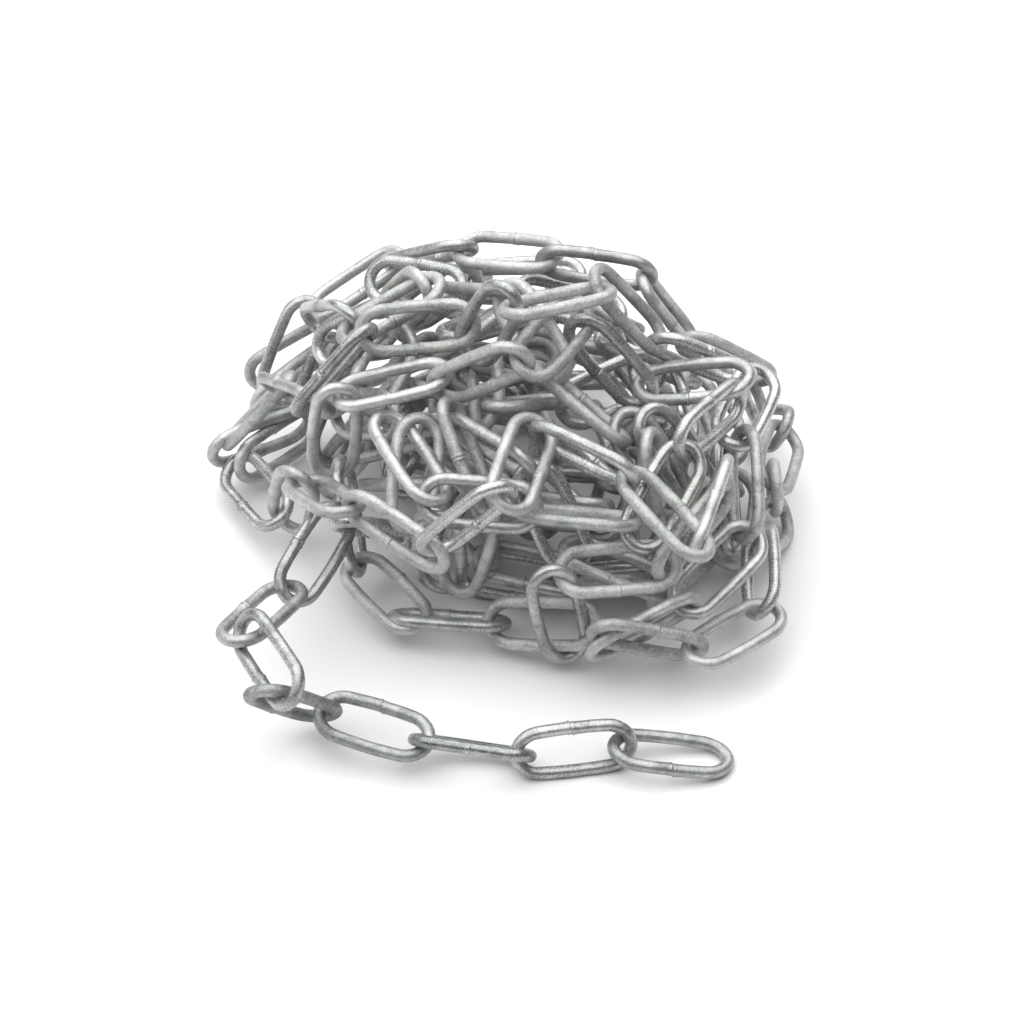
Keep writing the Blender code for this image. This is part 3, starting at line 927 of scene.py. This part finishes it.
def make_chain(heap, shift, finish):
    """All links, piece by piece as the CAD nodes have them."""
    chance = np.random.default_rng(WEAR_SEED)
    joined = [gap_for(i) == JOINED for i in range(len(heap) + 1)]
    joined[len(heap)] = False
    shapes = []
    for i in range(len(heap)):
        turned_over = TURNED_OVER.get(i, chance.uniform() < 0.5)
        shape = real_link(i, joined[i : i + 2], chance)
        shapes.append(laid(shape, heap.some(i), shift, turned_over))
    for i in range(len(TAIL)):
        piece_of_chain(f"end_link_{i + 1:02d}", [shapes[i]], f"tail_link_{i + 1:02d}", finish)
    for start in range(len(TAIL), len(heap), RUN_LINKS):
        number = (start - len(TAIL)) // RUN_LINKS + 1
        some = shapes[start : start + RUN_LINKS]
        piece_of_chain(f"heap_links_{number:02d}", some, f"chain_run_{number:02d}", finish)


class Nodes:
    """A short way to put shader nodes into a tree and to link them."""

    def __init__(self, tree):
        self.tree = tree

    def add(self, kind, values=(), **settings):
        """A node of this kind; values go to sockets by name or number, as numbers or as links."""
        node = self.tree.nodes.new(kind)
        for name, setting in settings.items():
            setattr(node, name, setting)
        for socket, value in dict(values).items():
            if isinstance(value, bpy.types.NodeSocket):
                self.tree.links.new(value, node.inputs[socket])
            else:
                node.inputs[socket].default_value = value
        return node

    def ramp(self, factor, stops):
        """A colour ramp over a factor, with greys or colours at its stops."""
        node = self.add("ShaderNodeValToRGB", {0: factor})
        elements = node.color_ramp.elements
        for number, (place, tone) in enumerate(stops):
            element = elements[number] if number < 2 else elements.new(place)
            element.position = place
            color = tone if isinstance(tone, tuple) else (tone, tone, tone)
            element.color = (*color, 1)
        return node.outputs[0]

    def sum(self, first, second):
        return self.add("ShaderNodeMath", {0: first, 1: second}, operation="ADD").outputs[0]

    def product(self, first, second):
        return self.add("ShaderNodeMath", {0: first, 1: second}, operation="MULTIPLY").outputs[0]

    def mixed(self, factor, first, second):
        """One colour mixed into another by a factor; 6 and 7 are the node's two colour sockets."""
        values = {0: factor, 6: first, 7: second}
        return self.add("ShaderNodeMix", values, data_type="RGBA").outputs[2]


def new_group(name, inputs, outputs):
    """An empty node group with numbers as its inputs and outputs."""
    tree = bpy.data.node_groups.new(name, "ShaderNodeTree")
    for socket, value in inputs.items():
        made = tree.interface.new_socket(socket, in_out="INPUT", socket_type="NodeSocketFloat")
        made.default_value = value
    for socket in outputs:
        tree.interface.new_socket(socket, in_out="OUTPUT", socket_type="NodeSocketFloat")
    nodes = Nodes(tree)
    return nodes, nodes.add("NodeGroupInput"), nodes.add("NodeGroupOutput")


def dipped_zinc_group():
    """The zinc coat: soft clouds, crystals, fine grain and runs, as masks and a height."""
    masks = ("Clouds", "Crystals", "Grain", "Height")
    nodes, given, out = new_group("dipped zinc", {"Grain share": GRAIN_SHARE}, masks)
    place = nodes.add("ShaderNodeTexCoord").outputs["Object"]

    def cloud(size, detail, rough):
        values = {"Vector": place, "Scale": 1 / size, "Detail": detail, "Roughness": rough}
        return nodes.add("ShaderNodeTexNoise", values).outputs["Fac"]

    clouds = cloud(CLOUD_SIZE, CLOUD_DETAIL, SOFT)
    crystal = nodes.add("ShaderNodeTexVoronoi", {"Vector": place, "Scale": 1 / CRYSTAL_SIZE})
    crystals = nodes.add("ShaderNodeSeparateColor", {0: crystal.outputs["Color"]}).outputs[0]
    grain = cloud(GRAIN_SIZE, GRAIN_DETAIL, CRISP)
    runs = cloud(RUN_SIZE, RUN_DETAIL, SOFT)
    fine = nodes.product(grain, given.outputs["Grain share"])
    flat = nodes.product(crystals, CRYSTAL_RELIEF)
    height = nodes.sum(nodes.sum(runs, fine), flat)
    for name, value in zip(masks, (clouds, crystals, grain, height)):
        nodes.tree.links.new(value, out.inputs[name])
    return nodes.tree


def zinc_finish(name, coat, dark, light, roughness, grain_share):
    """Galvanised steel: tones from dark to light, and rough between the two given values."""
    material = bpy.data.materials.new(name)
    material.use_nodes = True
    nodes = Nodes(material.node_tree)
    shader = material.node_tree.nodes["Principled BSDF"]
    shader.inputs["Metallic"].default_value = METAL_SHARE
    shader.inputs["IOR"].default_value = ZINC_IOR

    def wear_and_painted_shade(attribute):
        return nodes.add("ShaderNodeAttribute", attribute_name=attribute).outputs["Fac"]

    def between(value, places, low, high):
        return nodes.ramp(value, [(places[0], low), (places[1], high)])

    zinc = nodes.add("ShaderNodeGroup", {}, node_tree=coat)
    zinc.inputs["Grain share"].default_value = grain_share
    matt = wear_and_painted_shade("matt")
    tone = nodes.product(zinc.outputs["Clouds"], CLOUD_TONE)
    # The tone of each link is random, and painted shade makes it darker on the trailing end.
    tone = nodes.sum(tone, nodes.product(wear_and_painted_shade("tone"), LINK_TONE))
    tone = nodes.sum(tone, nodes.product(zinc.outputs["Crystals"], CRYSTAL_TONE))
    specks = between(zinc.outputs["Grain"], SPECK_RANGE, 0.0, 1.0)
    speck_tone = nodes.sum(nodes.product(matt, MATT_SPECK_TONE), SPECK_TONE)
    tone = nodes.sum(tone, nodes.product(specks, speck_tone))
    color = between(tone, TONE_RANGE, dark, light)
    burnt = between(wear_and_painted_shade("seam"), BURNT_RANGE, 0.0, BURNT_SHARE)
    color = nodes.mixed(burnt, color, (*BURNT_ZINC, 1))
    rough = nodes.product(matt, MATT_ROUGH)
    rough = nodes.sum(rough, nodes.product(zinc.outputs["Grain"], GRAIN_ROUGH))
    rough = between(rough, ROUGH_RANGE, *roughness)
    relief = nodes.sum(nodes.product(matt, MATT_RELIEF), LEAST_RELIEF)
    height = nodes.product(zinc.outputs["Height"], relief)
    bump = nodes.add("ShaderNodeBump", {"Height": height, "Distance": RELIEF, "Strength": 1.0})
    for value, socket in ((color, "Base Color"), (rough, "Roughness"), (bump.outputs[0], "Normal")):
        nodes.tree.links.new(value, shader.inputs[socket])
    return material


def floor_finish():
    material = bpy.data.materials.new("pale floor")
    material.use_nodes = True
    nodes = Nodes(material.node_tree)
    shader = material.node_tree.nodes["Principled BSDF"]
    place = nodes.add("ShaderNodeTexCoord").outputs["Object"]
    values = {"Vector": place, "Scale": HAZE_SCALE, "Detail": HAZE_DETAIL}
    haze = nodes.add("ShaderNodeTexNoise", values).outputs["Fac"]
    tone = nodes.ramp(haze, HAZE_TONES)
    nodes.tree.links.new(tone, shader.inputs["Base Color"])
    shader.inputs["Roughness"].default_value = FLOOR_ROUGH
    shader.inputs["Specular IOR Level"].default_value = FLOOR_GLOSS
    return material


def pale_floor():
    shape = bmesh.new()
    bmesh.ops.create_grid(shape, x_segments=1, y_segments=1, size=FLOOR_HALF)
    mesh = bpy.data.meshes.new("floor")
    shape.to_mesh(mesh)
    shape.free()
    mesh.materials.append(floor_finish())
    floor = bpy.data.objects.new("floor", mesh)
    bpy.context.scene.collection.objects.link(floor)


def hang(name, lamp, place, target):
    """Hangs a lamp at a place and points it; only its light shows, and not the lamp itself."""
    holder = bpy.data.objects.new(name, lamp)
    holder.location = place
    holder.rotation_euler = (Vector(target) - Vector(place)).to_track_quat("-Z", "Y").to_euler()
    holder.visible_camera = False
    bpy.context.scene.collection.objects.link(holder)


def soft_light(name, place, target, size, watts):
    lamp = bpy.data.lights.new(name, "AREA")
    lamp.shape = "RECTANGLE"
    lamp.size, lamp.size_y = size
    lamp.energy = watts
    hang(name, lamp, place, target)


def bright_ceiling(place, angle, strength):
    """Light from a wide round patch of the ceiling, alike all over the floor."""
    lamp = bpy.data.lights.new("ceiling", "SUN")
    lamp.angle = angle
    lamp.energy = strength
    hang("ceiling", lamp, place, (0, 0, 0))


def room():
    """A dim room, which shows as plain white where the camera sees past the floor."""
    world = bpy.data.worlds.new("studio")
    bpy.context.scene.world = world
    world.use_nodes = True
    nodes = Nodes(world.node_tree)
    shade = world.node_tree.nodes["Background"]
    seen = nodes.add("ShaderNodeLightPath").outputs["Is Camera Ray"]
    strength = nodes.add("ShaderNodeMapRange", {"Value": seen, "To Min": ROOM_LIGHT, "To Max": 1.0})
    nodes.tree.links.new(strength.outputs[0], shade.inputs["Strength"])
    shade.inputs["Color"].default_value = (1, 1, 1, 1)


def studio():
    pale_floor()
    room()
    bright_ceiling(*CEILING)
    for name, place, target, size, watts in SOFT_LIGHTS:
        soft_light(name, place, target, size, watts)


def camera_of_photograph(shift):
    """The camera, where the photograph was taken from, round the heap as the model shifts it."""
    lens = bpy.data.cameras.new("photograph")
    lens.sensor_width = SENSOR
    lens.lens = SENSOR * VIEW_SCALE / (2 * VIEW_MIDDLE)
    lens.clip_start = SEES_FROM
    lens.clip_end = SEES_TO
    camera = bpy.data.objects.new("photograph", lens)
    camera.location = [float(v) * MM for v in -VIEW_DISTANCE * FORWARD - shift]
    camera.rotation_euler = Vector(FORWARD).to_track_quat("-Z", "Y").to_euler()
    bpy.context.scene.collection.objects.link(camera)
    bpy.context.scene.camera = camera


bpy.context.scene.view_settings.view_transform = "Standard"
heap = lay_heap()
shift = middle_of_floor(heap)
coat = dipped_zinc_group()
finish = zinc_finish("galvanised steel", coat, DARK_ZINC, LIGHT_ZINC, ROUGHNESS, GRAIN_SHARE)
make_chain(heap, shift, finish)
studio()
camera_of_photograph(shift)
